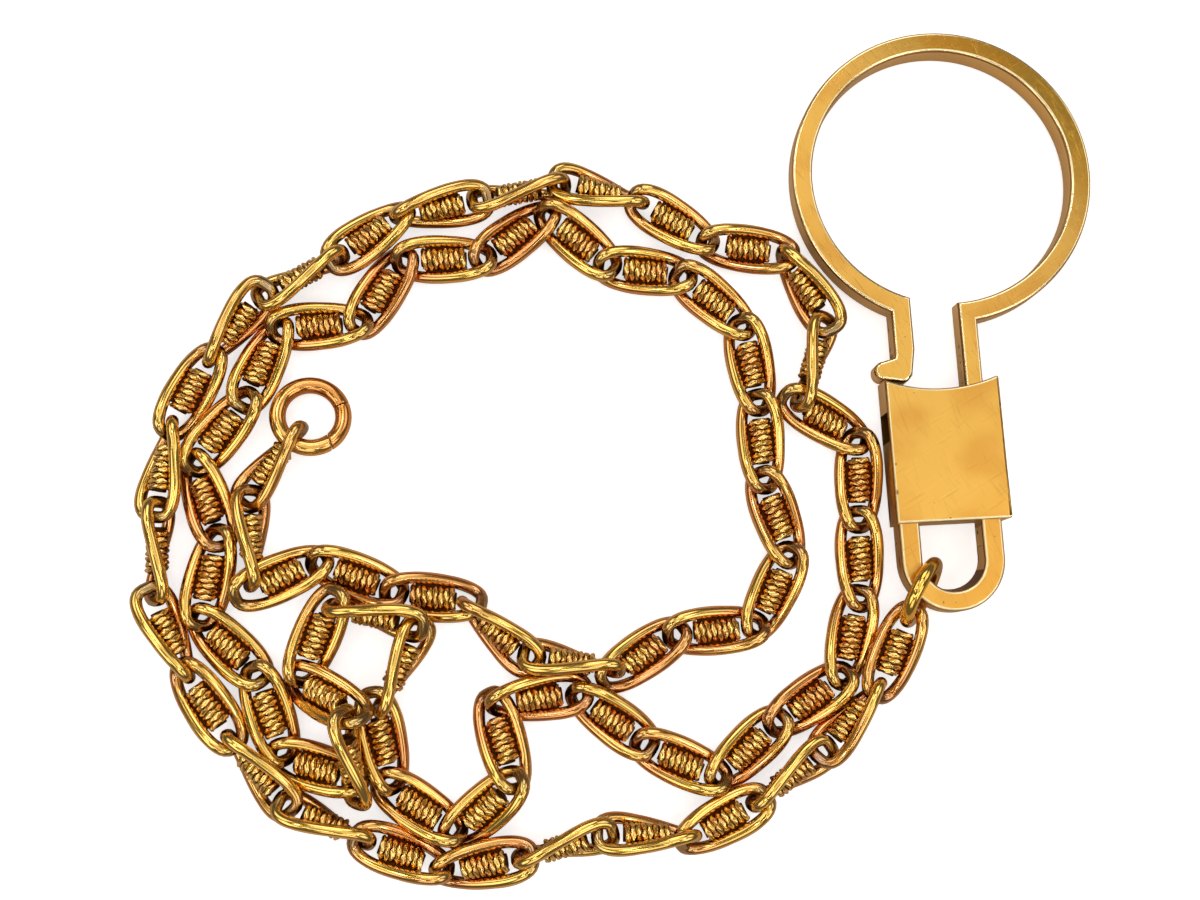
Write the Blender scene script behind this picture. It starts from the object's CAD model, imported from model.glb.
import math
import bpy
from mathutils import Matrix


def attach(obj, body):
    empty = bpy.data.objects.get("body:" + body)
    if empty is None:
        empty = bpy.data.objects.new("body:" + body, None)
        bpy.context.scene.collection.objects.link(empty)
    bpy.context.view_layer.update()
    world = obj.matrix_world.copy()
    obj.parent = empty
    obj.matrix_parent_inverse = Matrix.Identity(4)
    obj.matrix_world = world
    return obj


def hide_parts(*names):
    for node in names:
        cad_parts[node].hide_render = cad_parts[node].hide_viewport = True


bl_info = {
    "name": "Gold Watch Chain",
    "version": (1, 0, 0),
    "blender": (4, 5, 0),
    "location": "View3D > Sidebar > Watch Chain",
    "description": "Dresses the solids of a gold watch chain with its wires, coils, lock and rings",
    "category": "Object",
}

import bmesh
import bpy
import numpy as np
from bpy.props import FloatProperty, FloatVectorProperty, IntProperty, PointerProperty
from mathutils import Matrix, Vector

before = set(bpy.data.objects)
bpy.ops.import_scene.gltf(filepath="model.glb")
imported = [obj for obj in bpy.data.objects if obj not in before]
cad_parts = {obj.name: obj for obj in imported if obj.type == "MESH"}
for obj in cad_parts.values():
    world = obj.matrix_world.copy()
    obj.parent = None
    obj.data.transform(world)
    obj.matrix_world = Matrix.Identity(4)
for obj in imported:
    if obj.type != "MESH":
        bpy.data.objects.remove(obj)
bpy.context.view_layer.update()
MM = 0.001
UP = Vector((0, 0, 1))


def length_field(name, about, millimetres):
    """A length, with its default in millimetres"""
    return FloatProperty(name=name, description=about, default=millimetres * MM, unit="LENGTH")


def angle_field(name, about, degrees):
    """An angle, with its default in degrees"""
    return FloatProperty(name=name, description=about, default=math.radians(degrees), subtype="ANGLE")


def number_field(name, about, value):
    """A number without a unit"""
    return FloatProperty(name=name, description=about, default=value)


def count_field(name, about, value):
    """A whole number of sections or sides"""
    return IntProperty(name=name, description=about, default=value)


def place_field(name, about, millimetres):
    """A place in the frame, with its default in millimetres"""
    default = tuple(number * MM for number in millimetres)
    return FloatVectorProperty(name=name, description=about, default=default, subtype="TRANSLATION")


def colour_field(name, about, value):
    """A colour, with its default in linear light"""
    return FloatVectorProperty(
        name=name, description=about, default=value, size=4, min=0, max=1, subtype="COLOR"
    )


class ChainSettings(bpy.types.PropertyGroup):
    """Sizes of one link: a twisted loop of wire with a coiled barrel along its middle"""

    half_length: length_field("Half length", "Half of the wire's centre line along a link", 4.75)
    half_width: length_field("Half width", "Half of the wire's centre line across a link", 1.82)
    fullness: number_field("Fullness", "Fullness of the outline, 2 is an ellipse", 3.3)
    twist: angle_field("Twist", "Twist from end to end", 82)
    wire_radius: length_field("Wire radius", "Radius of the wire", 0.6)
    wire_steps: count_field("Wire steps", "Sections along a link's wire", 64)
    wire_sides: count_field("Wire sides", "Sides of the wire", 12)
    coil_radius: length_field("Coil radius", "Radius of the coil's centre line", 0.87)
    coil_length: length_field("Coil length", "Length of the coil's centre line", 4.1)
    coil_turns: number_field("Coil turns", "Turns of the coil", 7.5)
    strand_width: length_field("Strand width", "Half of the oval strand's longer axis", 0.305)
    strand_height: length_field("Strand height", "Half of the oval strand's shorter axis", 0.225)
    strand_sides: count_field("Strand sides", "Sides of the strand", 8)
    steps_per_turn: count_field("Steps per turn", "Sections in a turn of the coil", 30)
    lay: number_field("Lay", "Turns of the oval strand about itself in a turn of the coil", 2.7)
    core_radius: length_field("Core radius", "Radius of the core that carries the coil", 0.74)
    core_length: length_field("Core length", "Length of the core", 4.5)
    core_bevel: length_field("Core bevel", "Rounding of the core's ends", 0.06)
    web_width: length_field("Web width", "Half width of the solder between wires and core", 1.35)
    web_thickness: length_field("Web thickness", "Half thickness of the solder", 0.11)
    web_length: length_field("Web length", "Length of the solder", 3.7)


class LockSettings(bpy.types.PropertyGroup):
    """Where the lock lies and how its edges are broken"""

    place: place_field("Place", "Middle of the case's bottom edge", (32.15, -7.39, 3.1))
    turn: angle_field("Turn", "Turn on the board", 3.2)
    slope: angle_field("Slope", "Slope from the bail down to the ring", 1.98)
    case_bevel: length_field("Case bevel", "Width of the case's broken edges", 0.27)
    ring_bevel: length_field("Ring bevel", "Width of the ring's broken edges", 0.3)
    corner: length_field("Corner", "Rounding of the case's right corners", 0.29)


class RingSettings(bpy.types.PropertyGroup):
    """Sizes and places of the jump ring and of the spring ring"""

    jump_place: place_field("Jump ring place", "Centre of the jump ring", (28.95, -14.23, 3.6))
    jump_heading: angle_field("Jump ring heading", "Direction of the jump ring's level diameter", 241.4)
    jump_lean: angle_field("Jump ring lean", "Lean off upright", 20)
    jump_radius: length_field("Jump ring radius", "Radius of its wire's centre line", 3.08)
    jump_wire: length_field("Jump ring wire", "Radius of its wire", 0.69)
    spring_place: place_field("Spring ring place", "Centre of the spring ring", (-30.84, 3.0, 1.55))
    spring_slope: angle_field("Spring ring slope", "Slope of the spring ring", 12)
    spring_side: angle_field("Spring ring side", "Direction in which it slopes upward", 225)
    spring_radius: length_field("Spring ring radius", "Radius of its tube's centre line", 3.2)
    spring_tube: length_field("Spring ring tube", "Radius of its tube", 0.81)
    end_bevel: length_field("End bevel", "Rounding of the tube's ends", 0.05)
    hinge_angle: angle_field("Hinge angle", "Place of the gate's hinge seam", 22)
    seam_width: length_field("Seam width", "Width of the hinge seam", 0.1)
    gap_angle: angle_field("Gap angle", "Place of the closing gap", -53)
    gap_lean: angle_field("Gap lean", "Lean of the closing gap's faces", -16)
    gap_width: length_field("Gap width", "Width of the closing gap", 0.12)


class FinishSettings(bpy.types.PropertyGroup):
    """Colours of the gold and of what has settled on it"""

    wire_bright: colour_field("Wire bright", "Lemon gold of the rubbed wires", (0.88, 0.5, 0.03, 1))
    wire_deep: colour_field("Wire deep", "Orange gold of the wires' lower sides", (0.74, 0.27, 0.014, 1))
    coil_bright: colour_field("Coil bright", "Crests of the coils", (0.97, 0.6, 0.1, 1))
    coil_deep: colour_field("Coil deep", "Flanks of the coils", (0.84, 0.37, 0.03, 1))
    plate_bright: colour_field("Plate bright", "Flat faces of the lock", (0.88, 0.48, 0.07, 1))
    plate_deep: colour_field("Plate deep", "Clouds on the flat faces", (0.77, 0.37, 0.04, 1))
    rubbed: colour_field("Rubbed", "Pale gold of the rubbed rims", (1.0, 0.8, 0.42, 1))
    stain: colour_field("Stain", "Brown film in the recesses", (0.06, 0.018, 0.003, 1))


class StageSettings(bpy.types.PropertyGroup):
    """Camera, lights and floor"""

    look_at: place_field("Look at", "Point in the middle of the view", (-2.25, 0.02, 0))
    distance: length_field("Distance", "From the eye to that point", 156.3)
    tilt: angle_field("Tilt", "Lean of the view off straight down", 7.38)
    side: angle_field("Side", "Side on which the eye stands", -110.2)
    focal_pixels: number_field("Focal length", "In pixels of a 1200 pixel wide view", 1563)
    floor_seen: colour_field("Floor seen", "Floor as the eye sees it", (0.85, 0.81, 0.79, 1))
    floor_mirrored: colour_field("Floor mirrored", "Floor as the metal mirrors it", (0.6, 0.47, 0.34, 1))


GROUPS = {
    "watch_chain_links": ChainSettings,
    "watch_chain_lock": LockSettings,
    "watch_chain_rings": RingSettings,
    "watch_chain_finish": FinishSettings,
    "watch_chain_stage": StageSettings,
}


def settings(context, name):
    """The scene's settings of one group"""
    return getattr(context.scene, "watch_chain_" + name)


# Materials

# Every gold: bright and deep colour, roughness, noise scales of its clouds and specks, mark depth, coat
GOLDS = {
    "wire_gold": ("wire_bright", "wire_deep", 0.15, 500, 3500, 0.0, 1.0),
    "coil_gold": ("coil_bright", "coil_deep", 0.15, 400, 3000, 0.0, 1.0),
    "core_gold": ("stain", "stain", 0.35, 500, 3000, 0.2, 0.0),
    "jump_gold": ("wire_bright", "wire_deep", 0.15, 450, 3000, 0.0, 0.7),
    "clasp_gold": ("plate_bright", "wire_deep", 0.15, 450, 3000, 0.0, 0.7),
    "ring_gold": ("plate_bright", "plate_deep", 0.18, 160, 1500, 0.06, 0.3),
    "case_gold": ("plate_bright", "plate_deep", 0.3, 180, 1600, 0.06, 0.3),
}
COAT_ROUGHNESS, COAT_IOR = 0.09, 2.0
# Noise values between which a cloud or a speck fades in, and what it then does
CLOUD_FADE, SPECK_FADE = (0.38, 0.66), (0.74, 0.84)
SPECK_STAIN = 0.15
CLOUD_ROUGHNESS_FADE, CLOUD_ROUGHNESS = (0.3, 0.7), (-0.02, 0.03)
FILM_ROUGHNESS = 0.15
MARK_HEIGHT, CLOUD_RELIEF = 0.05 * MM, 1.5
# Hairlines: turn in radians and how much narrower than long, for each direction
HAIRLINES = ((0.55, 0.035), (-0.9, 0.05), (1.9, 0.04))
HAIRLINE_FADE = (0.6, 0.74)
HAIRLINE_ROUGHNESS, HAIRLINE_STAIN = 0.08, 0.16
HAIRLINE_BUMP, HAIRLINE_DEPTH = 0.2, 0.02 * MM
# Heights between which the tone runs from deep to bright
TONE_HEIGHTS, TONE_VALUES = (0.6 * MM, 3.6 * MM), (0.75, -0.45)
SPOT_SOFTNESS = 0.35
DULL_STAIN, WALL_PALENESS = 0.85, 0.5


def new_group(name, inputs, outputs):
    """Node group and its given and made sockets, which inputs and outputs name by their kinds"""
    group = bpy.data.node_groups.new(name, "ShaderNodeTree")
    for way, kinds in (("INPUT", inputs), ("OUTPUT", outputs)):
        for kind, names in kinds.items():
            for socket in names:
                group.interface.new_socket(name=socket, in_out=way, socket_type="NodeSocket" + kind)
    given = group.nodes.new("NodeGroupInput").outputs
    made = group.nodes.new("NodeGroupOutput").inputs
    return group, given, made


def feed(tree, socket, value):
    """Gives a socket another node's output, or else a number or colour of its own"""
    if isinstance(value, bpy.types.NodeSocket):
        tree.links.new(value, socket)
    else:
        socket.default_value = value


def fill(tree, node, values):
    """Feeds a node's inputs by their names"""
    for name, value in values.items():
        feed(tree, node.inputs[name], value)


def math_node(tree, operation, first, second):
    """Output of one sum"""
    node = tree.nodes.new("ShaderNodeMath")
    node.operation = operation
    feed(tree, node.inputs[0], first)
    feed(tree, node.inputs[1], second)
    return node.outputs[0]


def vector_node(tree, operation, first, second=(0, 0, 0)):
    """Outputs of one sum of vectors"""
    node = tree.nodes.new("ShaderNodeVectorMath")
    node.operation = operation
    feed(tree, node.inputs[0], first)
    feed(tree, node.inputs[1], second)
    return node.outputs


def ranged(tree, value, low, high, to_low=0.0, to_high=1.0):
    """Output that goes smoothly from one value to another as the given one goes from low to high"""
    node = tree.nodes.new("ShaderNodeMapRange")
    node.interpolation_type = "SMOOTHSTEP"
    fill(tree, node, {"Value": value, "From Min": low, "From Max": high})
    fill(tree, node, {"To Min": to_low, "To Max": to_high})
    return node.outputs["Result"]


def noise(tree, vector, scale, detail, rough):
    """Output of a noise whose scale is another node's output"""
    node = tree.nodes.new("ShaderNodeTexNoise")
    fill(tree, node, {"Vector": vector, "Scale": scale, "Detail": detail, "Roughness": rough})
    return node.outputs["Fac"]


def mixed(tree, factor, first, second):
    """Colour between two colours"""
    node = tree.nodes.new("ShaderNodeMix")
    node.data_type = "RGBA"
    for socket, value in zip((node.inputs[0], node.inputs[6], node.inputs[7]), (factor, first, second)):
        feed(tree, socket, value)
    return node.outputs[2]


def stored(tree, name):
    """Outputs of what the mesh stores under a name"""
    node = tree.nodes.new("ShaderNodeAttribute")
    node.attribute_name = name
    return node.outputs


def aged_gold_group():
    """Gold with clouds of a deeper tone, a film in its recesses and fine handling marks"""
    group = bpy.data.node_groups.get("Aged Gold")
    if group:
        return group
    numbers = ["Tone", "Recess", "Cloud Size", "Speck Size", "Roughness", "Mark Depth"]
    group, given, made = new_group(
        "Aged Gold",
        {"Vector": ["Vector"], "Color": ["Bright", "Deep", "Stain"], "Float": numbers},
        {"Color": ["Color"], "Float": ["Roughness"], "Vector": ["Normal"]},
    )
    cloud = noise(group, given["Vector"], given["Cloud Size"], 1.5, 0.5)
    speck = noise(group, given["Vector"], given["Speck Size"], 2.0, 0.5)
    tone = math_node(group, "ADD", ranged(group, cloud, *CLOUD_FADE), given["Tone"])
    body = mixed(group, math_node(group, "MINIMUM", tone, 1.0), given["Bright"], given["Deep"])
    spots = ranged(group, speck, *SPECK_FADE, 0.0, SPECK_STAIN)
    film = math_node(group, "MINIMUM", math_node(group, "ADD", spots, given["Recess"]), 1.0)
    group.links.new(mixed(group, film, body, given["Stain"]), made["Color"])
    spread = ranged(group, cloud, *CLOUD_ROUGHNESS_FADE, *CLOUD_ROUGHNESS)
    rough = math_node(group, "ADD", given["Roughness"], spread)
    rough = math_node(group, "ADD", rough, math_node(group, "MULTIPLY", film, FILM_ROUGHNESS))
    group.links.new(rough, made["Roughness"])
    relief = math_node(group, "ADD", speck, math_node(group, "MULTIPLY", cloud, CLOUD_RELIEF))
    bump = group.nodes.new("ShaderNodeBump")
    fill(group, bump, {"Distance": MARK_HEIGHT, "Strength": given["Mark Depth"], "Height": relief})
    group.links.new(bump.outputs["Normal"], made["Normal"])
    return group


def hairline_group():
    """Fine hairlines in three crossing directions, as a mask"""
    group = bpy.data.node_groups.get("Hairlines")
    if group:
        return group
    inputs = {"Vector": ["Vector"], "Float": ["Size"]}
    group, given, made = new_group("Hairlines", inputs, {"Float": ["Mask"]})
    found = None
    for turn, narrow in HAIRLINES:
        mapping = group.nodes.new("ShaderNodeMapping")
        mapping.vector_type = "TEXTURE"
        scale = (1 / narrow, 1, 1)
        fill(group, mapping, {"Vector": given["Vector"], "Rotation": (0, 0, turn), "Scale": scale})
        line = noise(group, mapping.outputs["Vector"], given["Size"], 2.0, 0.7)
        line = ranged(group, line, *HAIRLINE_FADE)
        found = line if found is None else math_node(group, "MAXIMUM", found, line)
    group.links.new(found, made["Mask"])
    return group


def spots_mask(tree, spots):
    """Mask of ovals with soft edges, a row of CASE_SPOTS or RING_SPOTS for each"""
    local = stored(tree, "local")["Vector"]
    found = None
    for x, y, z, wide, tall, deep, strength in spots:
        away = vector_node(tree, "SUBTRACT", local, (x, y, z))["Vector"]
        scaled = vector_node(tree, "DIVIDE", away, (wide, tall, deep))["Vector"]
        length = vector_node(tree, "LENGTH", scaled)["Value"]
        mask = ranged(tree, length, 1 - SPOT_SOFTNESS, 1 + SPOT_SOFTNESS, strength, 0.0)
        found = mask if found is None else math_node(tree, "MAXIMUM", found, mask)
    return found


def new_gold(name, context):
    """Material with its row of GOLDS, its shader, its group node and the point in the frame"""
    bright, deep, roughness, cloud, speck, marks, coat = GOLDS[name]
    colours = settings(context, "finish")
    material = bpy.data.materials.new(name)
    material.use_nodes = True
    tree = material.node_tree
    shader = tree.nodes["Principled BSDF"]
    feed(tree, shader.inputs["Metallic"], 1)
    fill(tree, shader, {"Coat Weight": coat, "Coat Roughness": COAT_ROUGHNESS, "Coat IOR": COAT_IOR})
    group = tree.nodes.new("ShaderNodeGroup")
    group.node_tree = aged_gold_group()
    fill(
        tree,
        group,
        {
            "Bright": getattr(colours, bright),
            "Deep": getattr(colours, deep),
            "Stain": colours.stain,
            "Cloud Size": cloud,
            "Speck Size": speck,
            "Roughness": roughness,
            "Mark Depth": marks,
        },
    )
    place = tree.nodes.new("ShaderNodeTexCoord").outputs["Object"]
    return material, shader, group, place


def wire_gold(name, context, flow=False):
    """Gold of wires, coils and tubes, deeper near the board; flow lays its clouds along the wire"""
    ready = bpy.data.materials.get(name)
    if ready:
        return ready
    material, shader, group, place = new_gold(name, context)
    tree = material.node_tree
    height = tree.nodes.new("ShaderNodeSeparateXYZ")
    feed(tree, height.inputs[0], place)
    low = ranged(tree, height.outputs["Z"], *TONE_HEIGHTS, *TONE_VALUES)
    tone = math_node(tree, "ADD", low, stored(tree, "tone")["Fac"])
    vector = stored(tree, "flow")["Vector"] if flow else place
    fill(tree, group, {"Vector": vector, "Recess": stored(tree, "recess")["Fac"], "Tone": tone})
    for source, target in (("Color", "Base Color"), ("Roughness", "Roughness"), ("Normal", "Normal")):
        tree.links.new(group.outputs[source], shader.inputs[target])
    return material


def plate_gold(name, context, spots, hairline_size):
    """Gold of the lock, with spots of tarnish, rubbed rims and hairlines"""
    ready = bpy.data.materials.get(name)
    if ready:
        return ready
    material, shader, group, place = new_gold(name, context)
    tree = material.node_tree
    colours = settings(context, "finish")
    tarnish = spots_mask(tree, spots)
    dull = math_node(tree, "MULTIPLY", stored(tree, "dull")["Fac"], DULL_STAIN)
    fill(tree, group, {"Vector": place, "Recess": math_node(tree, "MAXIMUM", tarnish, dull)})
    wall = math_node(tree, "MULTIPLY", stored(tree, "wall")["Fac"], WALL_PALENESS)
    pale = math_node(tree, "MAXIMUM", stored(tree, "rubbed")["Fac"], wall)
    pale = math_node(tree, "MULTIPLY", pale, math_node(tree, "SUBTRACT", 1.0, tarnish))
    body = mixed(tree, pale, group.outputs["Color"], colours.rubbed)
    lines = tree.nodes.new("ShaderNodeGroup")
    lines.node_tree = hairline_group()
    fill(tree, lines, {"Vector": place, "Size": hairline_size})
    mask = lines.outputs["Mask"]
    body = mixed(tree, math_node(tree, "MULTIPLY", mask, HAIRLINE_STAIN), body, colours.stain)
    rough = math_node(tree, "MULTIPLY", mask, HAIRLINE_ROUGHNESS)
    rough = math_node(tree, "ADD", group.outputs["Roughness"], rough)
    bump = tree.nodes.new("ShaderNodeBump")
    bump.invert = True
    fill(tree, bump, {"Strength": HAIRLINE_BUMP, "Distance": HAIRLINE_DEPTH, "Height": mask})
    feed(tree, bump.inputs["Normal"], group.outputs["Normal"])
    fill(tree, shader, {"Base Color": body, "Roughness": rough, "Normal": bump.outputs["Normal"]})
    return material


# Mesh helpers

# The CAD's points lie closer than this where triangles meet, and a bevel's where they pinch
WELD, BEVEL_WELD = 0.002 * MM, 0.004 * MM
FLAT_LIMIT = 40
# Flow runs slower along a wire than round it, so that clouds are long; each link starts at its own place
FLOW_STRETCH, FLOW_STEP = 0.12, 0.013


def finished(name, mesh, material, body, nodes, sharp=None):
    """Makes the object at the origin that rides on a body and stands for its nodes"""
    thing = bpy.data.objects.new(name, mesh)
    bpy.context.scene.collection.objects.link(thing)
    mesh.materials.append(material)
    mesh.shade_smooth()
    if sharp is not None:
        mesh.set_sharp_from_angle(angle=math.radians(sharp))
    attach(thing, body)
    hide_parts(*nodes)


def sweep(bm, sides, places, closed):
    """Tube of unit circles through the places, each a matrix that sets size, turn and position"""
    flow = bm.verts.layers.float_vector.get("flow") or bm.verts.layers.float_vector.new("flow")
    ring = bmesh.ops.create_circle(bm, segments=sides, radius=1, cap_ends=False, matrix=places[0])["verts"]
    first = list(dict.fromkeys(edge for vert in ring for edge in vert.link_edges))
    edges, travelled = first, 0.0
    for vert in ring:
        local = places[0].inverted() @ vert.co
        vert[flow] = (0, local.x, local.y)
    for before, place in zip(places, places[1:]):
        grown = bmesh.ops.extrude_edge_only(bm, edges=edges)["geom"]
        ring = [part for part in grown if isinstance(part, bmesh.types.BMVert)]
        fresh = set(ring)
        grown_edges = [part for part in grown if isinstance(part, bmesh.types.BMEdge)]
        edges = [edge for edge in grown_edges if fresh.issuperset(edge.verts)]
        bmesh.ops.transform(bm, matrix=place @ before.inverted(), verts=ring)
        travelled += (place.translation - before.translation).length
        back = place.inverted()
        for vert in ring:
            local = back @ vert.co
            vert[flow] = (travelled, local.x, local.y)
    if closed:
        bmesh.ops.bridge_loops(bm, edges=first + edges)
    else:
        bmesh.ops.contextual_create(bm, geom=first)
        bmesh.ops.contextual_create(bm, geom=edges)
    bmesh.ops.recalc_face_normals(bm, faces=bm.faces)


def is_sharp(edge, degrees):
    """Whether the faces at an edge turn by more than an angle"""
    return edge.is_manifold and math.degrees(edge.calc_face_angle()) > degrees


def round_edges(bm, edges, width, segments, clamped=False):
    """Rounds the given edges"""
    bmesh.ops.bevel(
        bm,
        geom=edges,
        offset=width,
        segments=segments,
        profile=0.5,
        affect="EDGES",
        material=-1,
        clamp_overlap=clamped,
    )


def even_normals(mesh):
    """Corner normals weighted by area, so that flat faces stay flat up to their rounded edges"""
    around = [[] for _ in mesh.vertices]
    for face in mesh.polygons:
        for vert in face.vertices:
            around[vert].append(face)
    least = math.cos(math.radians(FLAT_LIMIT))
    normals = []
    for face in mesh.polygons:
        for vert in face.vertices:
            near = [other for other in around[vert] if other.normal.dot(face.normal) > least]
            normals.append(sum((other.normal * other.area for other in near), Vector()).normalized())
    mesh.normals_split_custom_set(normals)


def set_place(centre, across, up, along, across_size, up_size):
    """Matrix whose unit circle lies across the given direction"""
    place = Matrix.Identity(4)
    for row in range(3):
        place[row][0] = across[row] * across_size
        place[row][1] = up[row] * up_size
        place[row][2] = along[row] * across_size
        place[row][3] = centre[row]
    return place


def as_mesh(name, bm):
    """Mesh of what a bmesh holds, which it then frees"""
    mesh = bpy.data.meshes.new(name)
    bm.to_mesh(mesh)
    bm.free()
    return mesh


def vertex_numbers(mesh, name):
    """Rows of three numbers that a mesh stores for its vertices, such as their flow"""
    values = np.empty(len(mesh.vertices) * 3)
    mesh.attributes[name].data.foreach_get("vector", values)
    return values.reshape(-1, 3)


def set_numbers(mesh, name, values, kind="FLOAT"):
    """Stores a number, or three, for every vertex"""
    found = mesh.attributes.get(name) or mesh.attributes.new(name, kind, "POINT")
    member = "value" if kind == "FLOAT" else "vector"
    found.data.foreach_set(member, np.asarray(values, dtype=float).ravel())


# Links

# The solids' own wire: half of its length, and the share of it about the middle that shows its roll
SOLID_HALF_LENGTH, MIDDLE_SHARE = 4.8 * MM, 0.55
CORE_SIDES, WEB_SIDES, WEB_STEPS = 20, 10, 8
TONE_SPREAD = 0.25
LINK_SHARP = 50
# Film on a wire: from where along it and over what length at its ends, and how near to the axis inside
END_FROM, END_SPAN, INNER_REACH = 3.6 * MM, 1.2 * MM, 1.5 * MM
END_FILM, INNER_FILM, WIRE_FILM = 0.25, 0.7, 0.7
# Film on a coil: below what radius, how fast it thickens inward in a millimetre, and its most
COIL_CREST, COIL_FALL, COIL_FILM = 0.92, 4, 0.9


def parts_of(node):
    """Vertex positions of each loose solid of a CAD node"""
    bm = bmesh.new()
    bm.from_mesh(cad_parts[node].data)
    bmesh.ops.remove_doubles(bm, verts=bm.verts, dist=WELD)
    met, solids = set(), []
    for start in bm.verts:
        if start in met:
            continue
        met.add(start)
        found = [start]
        for vert in found:
            for edge in vert.link_edges:
                other = edge.other_vert(vert)
                if other not in met:
                    met.add(other)
                    found.append(other)
        solids.append(np.array([vert.co for vert in found]))
    bm.free()
    return solids


def link_places(node, twist):
    """Each link's place, from its barrel's axis and its wire's middle sections"""
    solids = parts_of(node)
    spans = [np.linalg.norm(solid.max(0) - solid.min(0)) for solid in solids]
    limit = (min(spans) + max(spans)) / 2
    barrels = [solid for solid, span in zip(solids, spans) if span < limit]
    wires = [solid for solid, span in zip(solids, spans) if span >= limit]
    places = []
    for wire in wires:
        middle = wire.mean(0)
        barrel = min(barrels, key=lambda b: np.linalg.norm((b.max(0) + b.min(0)) / 2 - middle))
        centre = (barrel.max(0) + barrel.min(0)) / 2
        along = np.linalg.svd(barrel - barrel.mean(0))[2][0]
        along *= math.copysign(1, along[0])
        side = np.cross((0, 0, 1), along)
        side /= np.linalg.norm(side)
        over = np.cross(along, side)
        local = wire - centre
        x = local @ along
        angle = np.arctan2(local @ over, local @ side) + twist / 2 * x / SOLID_HALF_LENGTH
        near = np.abs(x) < SOLID_HALF_LENGTH * MIDDLE_SHARE
        roll = 0.5 * math.atan2(np.sin(2 * angle[near]).sum(), np.cos(2 * angle[near]).sum())
        across = math.cos(roll) * side + math.sin(roll) * over
        places.append(set_place(centre, along, across, np.cross(along, across), 1, 1))
    return sorted(places, key=lambda place: (place.translation.x, place.translation.y))


def loop_points(chain, count):
    """Evenly spaced points and twist-following normals of a link's wire"""
    fine = 2000
    turn = np.linspace(0, 2 * math.pi, fine, endpoint=False)
    power = 2 / chain.fullness
    x = chain.half_length * np.sign(np.cos(turn)) * np.abs(np.cos(turn)) ** power
    y = chain.half_width * np.sign(np.sin(turn)) * np.abs(np.sin(turn)) ** power
    angle = -chain.twist / 2 * x / chain.half_length
    line = np.stack([x, y * np.cos(angle), y * np.sin(angle)], 1)
    reach = np.concatenate([[0], np.cumsum(np.linalg.norm(np.roll(line, -1, 0) - line, axis=1))])
    wanted = np.linspace(0, reach[-1], count, endpoint=False)
    closed = np.vstack([line, line[:1]])
    even = np.stack([np.interp(wanted, reach, closed[:, k]) for k in range(3)], 1)
    angle = -chain.twist / 2 * even[:, 0] / chain.half_length
    over = np.stack([np.zeros(count), -np.sin(angle), np.cos(angle)], 1)
    return even, over


def wire_template(chain):
    """One link's loop of wire"""
    line, over = loop_points(chain, chain.wire_steps)
    places = []
    for k in range(len(line)):
        along = Vector(line[(k + 1) % len(line)] - line[k - 1]).normalized()
        up = Vector(over[k])
        up = (up - up.dot(along) * along).normalized()
        places.append(set_place(line[k], along.cross(up), up, along, chain.wire_radius, chain.wire_radius))
    bm = bmesh.new()
    sweep(bm, chain.wire_sides, places, True)
    return as_mesh("link_wire", bm)


def coil_template(chain):
    """Twisted oval strand wound round a link's core"""
    count = int(chain.coil_turns * chain.steps_per_turn)
    step = chain.coil_length / chain.coil_turns / (2 * math.pi)
    places = []
    for k in range(count + 1):
        turn = 2 * math.pi * chain.coil_turns * k / count
        out = Vector((0, math.cos(turn), math.sin(turn)))
        along = Vector((step, -chain.coil_radius * out.z, chain.coil_radius * out.y)).normalized()
        over = along.cross(out)
        spin = turn * chain.lay
        across = math.cos(spin) * out + math.sin(spin) * over
        up = along.cross(across)
        centre = Vector((chain.coil_length * (k / count - 0.5), 0, 0)) + chain.coil_radius * out
        places.append(set_place(centre, across, up, along, chain.strand_width, chain.strand_height))
    bm = bmesh.new()
    sweep(bm, chain.strand_sides, places, False)
    return as_mesh("link_coil", bm)


def core_template(chain):
    """Core of the barrel, with the solder that joins it to the wires"""
    bm = bmesh.new()
    bmesh.ops.create_cone(
        bm,
        cap_ends=True,
        segments=CORE_SIDES,
        radius1=chain.core_radius,
        radius2=chain.core_radius,
        depth=chain.core_length,
        matrix=Matrix.Rotation(math.pi / 2, 4, "Y"),
    )
    round_edges(bm, [edge for edge in bm.edges if is_sharp(edge, LINK_SHARP)], chain.core_bevel, 2, True)
    places = []
    for k in range(WEB_STEPS + 1):
        x = chain.web_length * (k / WEB_STEPS - 0.5)
        angle = -chain.twist / 2 * x / chain.half_length
        across = Vector((0, math.cos(angle), math.sin(angle)))
        along = Vector((1, 0, 0))
        up = along.cross(across)
        places.append(set_place((x, 0, 0), across, up, along, chain.web_width, chain.web_thickness))
    sweep(bm, WEB_SIDES, places, False)
    return as_mesh("link_core", bm)


def repeated(name, template, places, recess, wire_radius):
    """One mesh with the template and its film at every place, and a tone for each copy"""
    bm = bmesh.new()
    for place in places:
        start = len(bm.verts)
        bm.from_mesh(template)
        bm.verts.ensure_lookup_table()
        bmesh.ops.transform(bm, matrix=place, verts=bm.verts[start:])
    mesh = as_mesh(name, bm)
    count = len(template.vertices)
    chance = np.random.default_rng(ord(name[-1]))
    tones = chance.uniform(-TONE_SPREAD, TONE_SPREAD, len(places))
    set_numbers(mesh, "tone", np.repeat(tones, count))
    set_numbers(mesh, "recess", np.tile(recess, len(places)))
    flow = np.tile(vertex_numbers(template, "flow"), (len(places), 1))
    flow[:, 1:] *= wire_radius
    flow[:, 0] = flow[:, 0] * FLOW_STRETCH + np.repeat(np.arange(len(places)) * FLOW_STEP, count)
    set_numbers(mesh, "flow", flow, "FLOAT_VECTOR")
    return mesh


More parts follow.
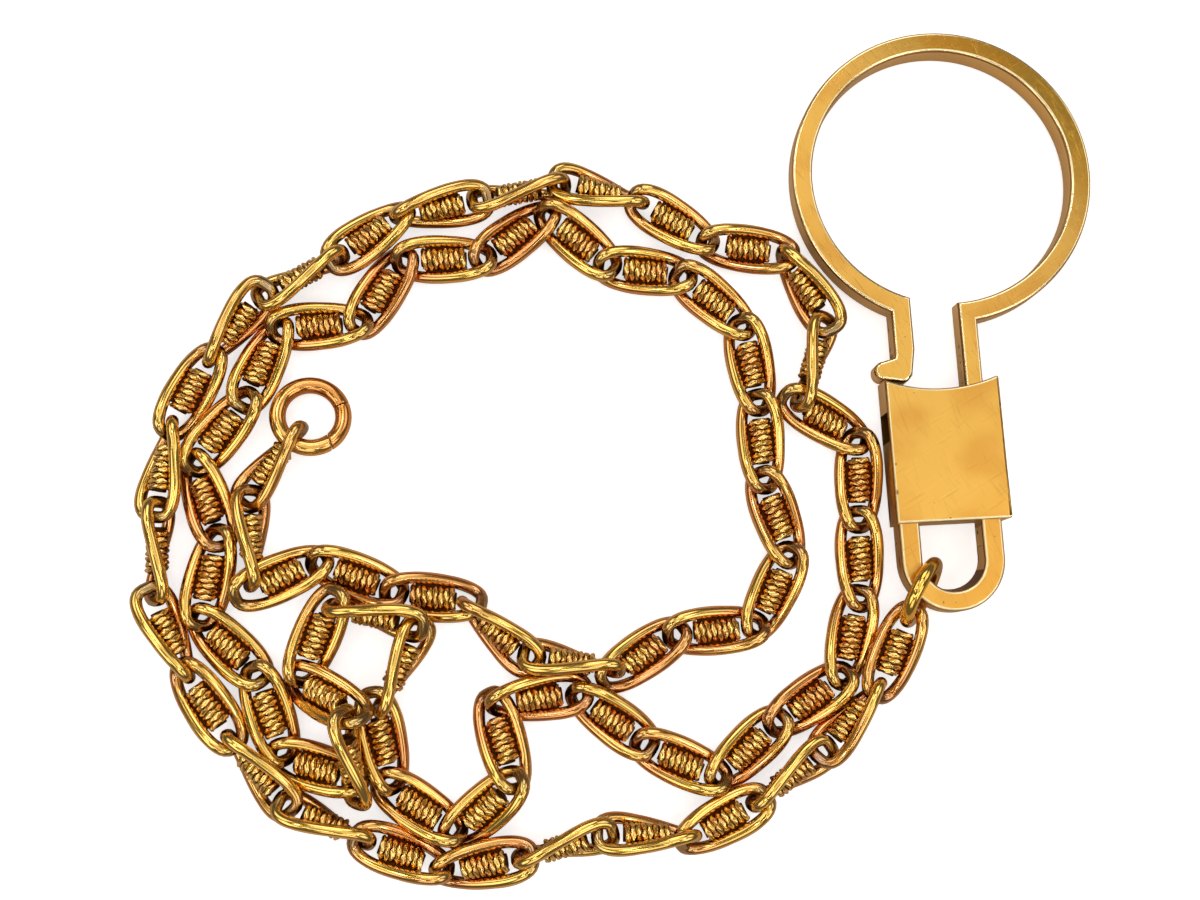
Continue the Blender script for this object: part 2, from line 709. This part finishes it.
def local_points(mesh):
    """A mesh's vertices along a link's axis and their distances from it"""
    points = np.empty(len(mesh.vertices) * 3)
    mesh.vertices.foreach_get("co", points)
    points = points.reshape(-1, 3)
    return points[:, 0], np.hypot(points[:, 1], points[:, 2])


class WATCHCHAIN_OT_links(bpy.types.Operator):
    """Makes the wire loops, coils and cores of all links"""

    bl_idname = "watch_chain.links"
    bl_label = "Links"

    def execute(self, context):
        chain = settings(context, "links")
        wire, coil, core = wire_template(chain), coil_template(chain), core_template(chain)
        along, away = local_points(wire)
        ends = np.clip((np.abs(along) - END_FROM) / END_SPAN, 0, 1)
        inner = np.clip(1 - away / INNER_REACH, 0, 1)
        wire_recess = np.clip(END_FILM * ends + INNER_FILM * inner, 0, WIRE_FILM)
        coil_recess = np.clip((COIL_CREST - local_points(coil)[1] / MM) * COIL_FALL, 0, COIL_FILM)
        kinds = (
            ("wires", wire, wire_recess, wire_gold("wire_gold", context, True)),
            ("coils", coil, coil_recess, wire_gold("coil_gold", context)),
            ("cores", core, np.ones(len(core.vertices)), wire_gold("core_gold", context)),
        )
        for half in ("a", "b"):
            node = "chain_" + half
            places = link_places(node, chain.twist)
            for kind, template, recess, material in kinds:
                name = "link_%s_%s" % (kind, half)
                mesh = repeated(name, template, places, recess, chain.wire_radius)
                finished(name, mesh, material, "chain", [node], LINK_SHARP)
        for template in (wire, coil, core):
            bpy.data.meshes.remove(template)
        return {"FINISHED"}


# Lock

# Stains, pits and nicks in the lock's own axes: place and half sizes in x, y and z in millimetres, strength
CASE_SPOTS = (
    (-5.7, 1.6, -1.2, 0.12, 1.15, 0.4, 0.95),
    (-5.72, 5.0, 0.2, 0.3, 2.9, 1.4, 0.22),
    (-5.6, 6.0, -1.9, 0.4, 1.9, 0.5, 0.5),
    (0.7, 0.0, -1.9, 0.9, 0.12, 0.5, 0.97),
    (2.3, 0.0, -1.6, 0.6, 0.12, 0.5, 0.97),
    (5.62, 11.31, 1.7, 0.1, 0.13, 0.3, 0.9),
    (5.62, 9.42, 1.7, 0.08, 0.1, 0.3, 0.8),
    (-5.45, 3.1, 1.8, 0.12, 0.25, 0.2, 0.8),
    (-5.35, 5.86, 1.8, 0.1, 0.12, 0.2, 0.7),
    (-0.46, 0.3, 1.8, 0.12, 0.08, 0.2, 0.6),
    (-2.94, 12.86, 1.8, 0.07, 0.06, 0.2, 0.5),
    (-1.91, 1.88, 1.8, 0.06, 0.06, 0.2, 0.4),
    (2.7, -1.06, -0.34, 0.2, 0.22, 0.2, 0.97),
    (2.7, -3.33, -0.93, 0.15, 0.9, 0.2, 0.75),
    (2.7, -2.44, -0.4, 0.15, 0.04, 1.2, 0.8),
    (2.6, -0.3, 0.0, 0.35, 0.3, 1.5, 0.6),
    (-5.45, -1.73, -0.38, 0.12, 0.12, 0.12, 0.9),
    (-5.45, -3.56, 0.27, 0.15, 0.7, 0.2, 0.75),
    (3.85, -1.68, 1.4, 0.1, 0.06, 0.2, 0.45),
    (-1.78, -7.8, 1.4, 0.08, 0.14, 0.2, 0.55),
    (-0.56, -7.89, 1.4, 0.06, 0.06, 0.2, 0.6),
)
RING_SPOTS = (
    (2.42, 17.6, 0.2, 0.15, 0.22, 0.2, 0.95),
    (2.42, 16.64, 0.3, 0.15, 0.12, 0.15, 0.9),
    (2.42, 15.96, 0.25, 0.15, 0.14, 0.15, 0.95),
    (2.42, 14.95, 0.2, 0.15, 0.12, 0.15, 0.95),
    (2.42, 13.88, 0.2, 0.15, 0.14, 0.2, 0.9),
    (-4.35, 17.76, -0.6, 0.12, 0.3, 0.3, 0.85),
    (-4.35, 19.8, -0.5, 0.12, 0.2, 0.25, 0.8),
    (-4.35, 16.9, -0.5, 0.15, 0.3, 1.2, 0.8),
    (-6.5, 15.5, -0.5, 0.25, 0.12, 0.12, 0.95),
    (-3.2, 18.6, 1.35, 0.1, 0.07, 0.2, 0.35),
)
FOOT_DOME, FOOT_LOW, FOOT_HIGH = -5.6 * MM, 13 * MM, 17 * MM
DOME_FALL, DOME_REACH = 0.3, 0.9
BAIL_MIDDLE, WINDOW_BEND, WINDOW_RADIUS = -0.35 * MM, -3.4 * MM, 3.05 * MM
WEAR_FACE, WEAR_REACH, WEAR_DEPTH = 1 * MM, 0.35 * MM, 0.32 * MM
# The case's right side, its front face, the faces of the ring and the bail, and where the bail ends
CASE_SIDE, CASE_FACE, RING_FACE, BAIL_END = 5.6 * MM, 1.75 * MM, 1.3 * MM, -0.01 * MM
# Chamber inside the case, in millimetres: half width, half depth, bottom and top
CHAMBER_WIDE, CHAMBER_DEEP, CHAMBER_LOW, CHAMBER_HIGH = 5.6, 1.6, 1, 14
# Angles in degrees off the lock's face of what is rubbed, dull or a side wall
RUBBED_FROM, RUBBED_TO, DULL_FROM, WALL_FROM = 5, 50, 62, 86
# An edge is level or upright within this, and an upright one is at least so long
EDGE_SLACK, UPRIGHT_LEAST = 0.05 * MM, 2 * MM
RIM_SHARP, CORNER_SHARP, FLAT_SLACK = 60, 50, 0.4
RIM_SEGMENTS, CORNER_SEGMENTS = 4, 5


def lock_place(lock):
    """From the lock's own axes to the frame's"""
    turn, slope = Matrix.Rotation(lock.turn, 4, "Z"), Matrix.Rotation(-lock.slope, 4, "X")
    return Matrix.Translation(lock.place) @ turn @ slope


def set_local(mesh, lock, hollow=False):
    """Stores each vertex's place in the lock's own axes, in millimetres, and where it is rubbed or dull"""
    back = lock_place(lock).inverted()
    set_numbers(mesh, "local", [tuple((back @ vert.co) / MM) for vert in mesh.vertices], "FLOAT_VECTOR")
    face = lock_place(lock).to_3x3() @ UP
    turns = np.array([abs(part.normal.dot(face)) for part in mesh.polygons])
    tilts = np.degrees(np.arccos(np.minimum(turns, 1)))
    x, y, z = np.array([back @ part.center for part in mesh.polygons]).T / MM
    inside = hollow & (np.abs(x) < CHAMBER_WIDE) & (np.abs(z) < CHAMBER_DEEP)
    inside &= (y > CHAMBER_LOW) & (y < CHAMBER_HIGH)
    for name, marked in (
        ("rubbed", (tilts > RUBBED_FROM) & (tilts < RUBBED_TO)),
        ("dull", ((tilts > DULL_FROM) & (tilts < WALL_FROM)) | inside),
        ("wall", (tilts > WALL_FROM) & ~inside),
    ):
        mesh.attributes.new(name, "FLOAT", "FACE").data.foreach_set("value", marked.astype(float))


def merged_copy(node):
    """Copy of a CAD node with its triangles joined and its flat faces whole"""
    bm = bmesh.new()
    bm.from_mesh(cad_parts[node].data)
    bmesh.ops.remove_doubles(bm, verts=bm.verts, dist=WELD)
    bmesh.ops.dissolve_limit(bm, angle_limit=math.radians(FLAT_SLACK), verts=bm.verts, edges=bm.edges)
    return bm


def break_rims(bm, lock, width, chosen):
    """Rounds the sharp edges of the flat faces that a test in the lock's own axes picks"""
    back = lock_place(lock).inverted()
    rims = []
    for edge in bm.edges:
        first, second = (back @ vert.co for vert in edge.verts)
        level = abs(first.z - second.z) < EDGE_SLACK
        if level and is_sharp(edge, RIM_SHARP) and chosen((first + second) / 2):
            rims.append(edge)
    round_edges(bm, rims, width, RIM_SEGMENTS)
    bmesh.ops.remove_doubles(bm, verts=bm.verts, dist=BEVEL_WELD)


def break_corners(bm, lock, width, chosen):
    """Rounds the upright corners that a test in the lock's own axes picks"""
    back = lock_place(lock).inverted()
    found = []
    for edge in bm.edges:
        first, second = (back @ vert.co for vert in edge.verts)
        upright = abs(first.z - second.z) > UPRIGHT_LEAST and (first - second).xy.length < EDGE_SLACK
        if upright and is_sharp(edge, CORNER_SHARP) and chosen(first):
            found.append(edge)
    round_edges(bm, found, width, CORNER_SEGMENTS)


class WATCHCHAIN_OT_key_ring(bpy.types.Operator):
    """Dresses the large ring with its legs and foot"""

    bl_idname = "watch_chain.key_ring"
    bl_label = "Key ring"

    def shape_tip(self, bm, lock):
        """Domes the end of the foot"""
        place = lock_place(lock)
        back = place.inverted()
        for vert in bm.verts:
            spot = back @ vert.co
            past = (FOOT_DOME - spot.x) / MM
            if past > 0 and FOOT_LOW < spot.y < FOOT_HIGH:
                spot.z *= 1 - DOME_FALL * min(past, DOME_REACH) ** 2
                vert.co = place @ spot

    def execute(self, context):
        lock = settings(context, "lock")
        bm = merged_copy("key_ring")
        break_rims(bm, lock, lock.ring_bevel, lambda spot: abs(spot.z) > RING_FACE)
        self.shape_tip(bm, lock)
        mesh = as_mesh("key_ring_metal", bm)
        set_local(mesh, lock)
        plate = plate_gold("ring_gold", context, RING_SPOTS, 5000)
        finished("key_ring_metal", mesh, plate, "key_ring", ["key_ring"])
        even_normals(mesh)
        return {"FINISHED"}


class WATCHCHAIN_OT_lock_case(bpy.types.Operator):
    """Dresses the case with its slot and the bail under it"""

    bl_idname = "watch_chain.lock_case"
    bl_label = "Lock case"

    def wear_bail(self, bm, lock):
        """Wears the front of the bail's window hollow where the jump ring rubs"""
        place = lock_place(lock)
        back = place.inverted()
        for vert in bm.verts:
            spot = back @ vert.co
            arm = Vector((spot.x - BAIL_MIDDLE, spot.y - WINDOW_BEND, 0))
            if arm.y < 0 and spot.z > WEAR_FACE and abs(arm.length - WINDOW_RADIUS) < WEAR_REACH:
                low = -arm.y / arm.length
                vert.co = place @ (spot + arm.normalized() * WEAR_DEPTH * low)

    def execute(self, context):
        lock = settings(context, "lock")
        bm = merged_copy("lock_body")
        break_corners(bm, lock, lock.corner, lambda spot: spot.x > CASE_SIDE)
        break_rims(bm, lock, lock.case_bevel, lambda spot: abs(spot.z) > CASE_FACE)
        break_rims(bm, lock, lock.ring_bevel, lambda spot: abs(spot.z) > RING_FACE and spot.y < BAIL_END)
        self.wear_bail(bm, lock)
        mesh = as_mesh("lock_case_metal", bm)
        set_local(mesh, lock, True)
        plate = plate_gold("case_gold", context, CASE_SPOTS, 4500)
        finished("lock_case_metal", mesh, plate, "chain", ["lock_body"])
        even_normals(mesh)
        return {"FINISHED"}


# Rings

JUMP_STEPS, JUMP_SIDES, JUMP_TONE = 72, 24, -0.2
SPRING_STEPS, SPRING_SIDES, SPRING_TONE, SPRING_SHARP = 96, 28, 0.0, 40
# The tubes run past the closing gap by this angle until they are cut, and the cut takes what is so near
SPARE_ANGLE, CUT_REACH, END_SHARP = 0.5, 1.6 * MM, 50


def ring_axes(first, second, angle):
    """Directions out from a ring's centre and along its tube"""
    out = math.cos(angle) * first + math.sin(angle) * second
    along = -math.sin(angle) * first + math.cos(angle) * second
    return out, along


def ring_places(centre, first, second, radius, tube, start, end, count, closed):
    """Places of circles round a ring, from one angle to another"""
    places = []
    steps = count if closed else count - 1
    for k in range(count):
        out, along = ring_axes(first, second, start + (end - start) * k / steps)
        places.append(set_place(Vector(centre) + radius * out, out, along.cross(out), along, tube, tube))
    return places


def mark_tube(mesh, tube, tone):
    """Brings a tube's flow to metres and gives the whole tube one tone and no film"""
    flow = vertex_numbers(mesh, "flow")
    flow[:, 1:] *= tube
    flow[:, 0] *= FLOW_STRETCH
    set_numbers(mesh, "flow", flow, "FLOAT_VECTOR")
    set_numbers(mesh, "tone", np.full(len(mesh.vertices), tone))
    set_numbers(mesh, "recess", np.zeros(len(mesh.vertices)))


class WATCHCHAIN_OT_jump_ring(bpy.types.Operator):
    """Makes the round ring between the bail and the first link"""

    bl_idname = "watch_chain.jump_ring"
    bl_label = "Jump ring"

    def execute(self, context):
        rings = settings(context, "rings")
        level = Vector((math.cos(rings.jump_heading), math.sin(rings.jump_heading), 0))
        side = UP.cross(level)
        tall = math.cos(rings.jump_lean) * UP - math.sin(rings.jump_lean) * side
        radius, tube = rings.jump_radius, rings.jump_wire
        places = ring_places(rings.jump_place, level, tall, radius, tube, 0, 2 * math.pi, JUMP_STEPS, True)
        bm = bmesh.new()
        sweep(bm, JUMP_SIDES, places, True)
        mesh = as_mesh("jump_ring_wire", bm)
        mark_tube(mesh, tube, JUMP_TONE)
        shine = wire_gold("jump_gold", context, True)
        finished("jump_ring_wire", mesh, shine, "chain", ["jump_ring"])
        return {"FINISHED"}


class WATCHCHAIN_OT_spring_ring(bpy.types.Operator):
    """Makes the ring clasp and its hinged gate"""

    bl_idname = "watch_chain.spring_ring"
    bl_label = "Spring ring"

    def cut_end(self, bm, point, out, normal):
        """Cuts a tube off flat at the closing gap, on the side that the normal points to"""
        verts = [vert for vert in bm.verts if (vert.co - point).dot(out) > -CUT_REACH]
        near = set(verts)
        joined = [part for part in bm.edges[:] + bm.faces[:] if near.issuperset(part.verts)]
        cut = bmesh.ops.bisect_plane(
            bm, geom=verts + joined, plane_co=point, plane_no=normal, clear_outer=True
        )["geom_cut"]
        bmesh.ops.contextual_create(bm, geom=[part for part in cut if isinstance(part, bmesh.types.BMEdge)])

    def execute(self, context):
        rings = settings(context, "rings")
        rise = Vector((math.cos(rings.spring_side), math.sin(rings.spring_side), 0))
        tip = Matrix.Rotation(-rings.spring_slope, 3, UP.cross(rise))
        first, second = tip @ Vector((1, 0, 0)), tip @ Vector((0, 1, 0))
        centre, radius, tube = Vector(rings.spring_place), rings.spring_radius, rings.spring_tube
        hinge, gap = rings.hinge_angle, rings.gap_angle
        seam = rings.seam_width / 2 / radius
        out, along = ring_axes(first, second, gap)
        normal = math.cos(rings.gap_lean) * along - math.sin(rings.gap_lean) * out
        shine = wire_gold("clasp_gold", context, True)
        arcs = (
            ("spring_ring_tube", "chain", "spring_ring", hinge + seam, gap + 2 * math.pi + SPARE_ANGLE, 1),
            ("spring_ring_gate_tube", "gate", "spring_ring_gate", gap - SPARE_ANGLE, hinge - seam, -1),
        )
        for name, body, node, start, end, keep in arcs:
            count = int(SPRING_STEPS * (end - start) / (2 * math.pi)) + 2
            places = ring_places(centre, first, second, radius, tube, start, end, count, False)
            bm = bmesh.new()
            sweep(bm, SPRING_SIDES, places, False)
            point = centre + radius * out - keep * rings.gap_width / 2 * normal
            self.cut_end(bm, point, out, normal * keep)
            round_edges(bm, [edge for edge in bm.edges if is_sharp(edge, END_SHARP)], rings.end_bevel, 2)
            bmesh.ops.recalc_face_normals(bm, faces=bm.faces)
            mesh = as_mesh(name, bm)
            mark_tube(mesh, tube, SPRING_TONE)
            finished(name, mesh, shine, body, [node], SPRING_SHARP)
        return {"FINISHED"}


# Stage

SENSOR_WIDTH, PHOTO_WIDTH = 36, 1200
NEAR_CLIP, FAR_CLIP = 0.01, 20
STUDIO_COLOUR, STUDIO_STRENGTH = (0.62, 0.6, 0.58, 1), 0.22
LAMP_TINT = (1, 0.99, 0.97)
BROAD_PLACE, BROAD_SIZE, BROAD_RADIANCE = (0.1, 0.1, 0.75), (0.62, 0.55), 0.83
# Turn of each light in degrees and its radiance
PANELS = ((25, 1.4), (85, 2.1), (145, 1.6), (205, 1.9), (265, 1.3), (325, 1.7))
STRIPS = ((100, 9.5), (165, 9.5), (230, 9.5), (290, 9.5), (350, 9.5))
# Rings of lights: name, radius, height, size of each light, turns and radiances
LIGHT_RINGS = (("panel", 0.47, 0.4, (0.32, 0.26), PANELS), ("strip", 0.27, 0.52, (0.2, 0.026), STRIPS))
FLOOR_SIZE, FLOOR_DEPTH, FLOOR_ROUGHNESS = 3, 0.02 * MM, 0.9
GLOW_COLOUR, GLOW_STRENGTH = (1, 0.995, 0.99, 1), 0.66


def soft_light(context, name, place, size, radiance):
    """Rectangular light that looks at the origin and whose strength is the brightness of its face"""
    width, length = size
    lamp = bpy.data.lights.new(name, "AREA")
    lamp.shape = "RECTANGLE"
    lamp.size, lamp.size_y = width, length
    lamp.energy = radiance * math.pi * width * length
    lamp.color = LAMP_TINT
    thing = bpy.data.objects.new(name, lamp)
    context.scene.collection.objects.link(thing)
    thing.location = place
    thing.rotation_euler = (-Vector(place)).to_track_quat("-Z", "Y").to_euler()


class WATCHCHAIN_OT_stage(bpy.types.Operator):
    """Makes the camera, the lights and the floor"""

    bl_idname = "watch_chain.stage"
    bl_label = "Stage"

    def make_camera(self, scene, stage):
        """The eye that took the photo"""
        lean = math.sin(stage.tilt)
        ahead = -Vector((lean * math.cos(stage.side), lean * math.sin(stage.side), math.cos(stage.tilt)))
        up = Vector((0, 1, 0)) - ahead.y * ahead
        up.normalize()
        right = ahead.cross(up)
        lens = bpy.data.cameras.new("view")
        lens.sensor_fit = "HORIZONTAL"
        lens.sensor_width = SENSOR_WIDTH
        lens.lens = SENSOR_WIDTH * stage.focal_pixels / PHOTO_WIDTH
        lens.clip_start, lens.clip_end = NEAR_CLIP, FAR_CLIP
        camera = bpy.data.objects.new("view", lens)
        scene.collection.objects.link(camera)
        eye = Vector(stage.look_at) - stage.distance * ahead
        camera.matrix_world = set_place(eye, right, up, -ahead, 1, 1)
        scene.camera = camera

    def make_floor(self, scene, stage):
        """Pale floor that glows a little for the eye alone, and that the metal mirrors warmer"""
        bm = bmesh.new()
        bmesh.ops.create_grid(bm, x_segments=1, y_segments=1, size=FLOOR_SIZE)
        bmesh.ops.translate(bm, verts=bm.verts, vec=(0, 0, -FLOOR_DEPTH))
        floor_mesh = as_mesh("floor", bm)
        paper = bpy.data.materials.new("pale_paper")
        paper.use_nodes = True
        tree = paper.node_tree
        shader = tree.nodes["Principled BSDF"]
        path = tree.nodes.new("ShaderNodeLightPath").outputs
        tint = mixed(tree, path["Is Glossy Ray"], stage.floor_seen, stage.floor_mirrored)
        fill(tree, shader, {"Base Color": tint, "Roughness": FLOOR_ROUGHNESS, "Specular IOR Level": 0})
        glow = tree.nodes.new("ShaderNodeEmission")
        strength = math_node(tree, "MULTIPLY", path["Is Camera Ray"], GLOW_STRENGTH)
        fill(tree, glow, {"Color": GLOW_COLOUR, "Strength": strength})
        both = tree.nodes.new("ShaderNodeAddShader")
        tree.links.new(shader.outputs[0], both.inputs[0])
        tree.links.new(glow.outputs[0], both.inputs[1])
        tree.links.new(both.outputs[0], tree.nodes["Material Output"].inputs["Surface"])
        floor_mesh.materials.append(paper)
        floor = bpy.data.objects.new("floor", floor_mesh)
        scene.collection.objects.link(floor)

    def execute(self, context):
        stage = settings(context, "stage")
        scene = context.scene
        self.make_camera(scene, stage)
        scene.view_settings.view_transform = "Standard"
        world = bpy.data.worlds.new("studio")
        world.use_nodes = True
        backdrop = world.node_tree.nodes["Background"]
        fill(world.node_tree, backdrop, {"Color": STUDIO_COLOUR, "Strength": STUDIO_STRENGTH})
        scene.world = world
        soft_light(context, "broad", BROAD_PLACE, BROAD_SIZE, BROAD_RADIANCE)
        for name, radius, height, size, rows in LIGHT_RINGS:
            for number, (degrees, radiance) in enumerate(rows):
                turn = math.radians(degrees)
                place = (radius * math.cos(turn), radius * math.sin(turn), height)
                soft_light(context, "%s_%d" % (name, number), place, size, radiance)
        self.make_floor(scene, stage)
        return {"FINISHED"}


OPERATORS = (
    WATCHCHAIN_OT_stage,
    WATCHCHAIN_OT_links,
    WATCHCHAIN_OT_key_ring,
    WATCHCHAIN_OT_lock_case,
    WATCHCHAIN_OT_jump_ring,
    WATCHCHAIN_OT_spring_ring,
)


class WATCHCHAIN_PT_panel(bpy.types.Panel):
    """Lists the pieces and their settings"""

    bl_label = "Watch Chain"
    bl_idname = "WATCHCHAIN_PT_panel"
    bl_space_type = "VIEW_3D"
    bl_region_type = "UI"
    bl_category = "Watch Chain"

    def draw(self, context):
        for operator in OPERATORS:
            self.layout.operator(operator.bl_idname)
        for name, group in GROUPS.items():
            box = self.layout.box()
            for field in group.__annotations__:
                box.prop(getattr(context.scene, name), field)


CLASSES = tuple(GROUPS.values()) + OPERATORS + (WATCHCHAIN_PT_panel,)


def register():
    for cls in CLASSES:
        bpy.utils.register_class(cls)
    for name, group in GROUPS.items():
        setattr(bpy.types.Scene, name, PointerProperty(type=group))


def unregister():
    for name in GROUPS:
        delattr(bpy.types.Scene, name)
    for cls in reversed(CLASSES):
        bpy.utils.unregister_class(cls)


def main():
    register()
    for operator in OPERATORS:
        getattr(bpy.ops.watch_chain, operator.bl_idname.split(".")[1])()


if __name__ == "__main__":
    main()
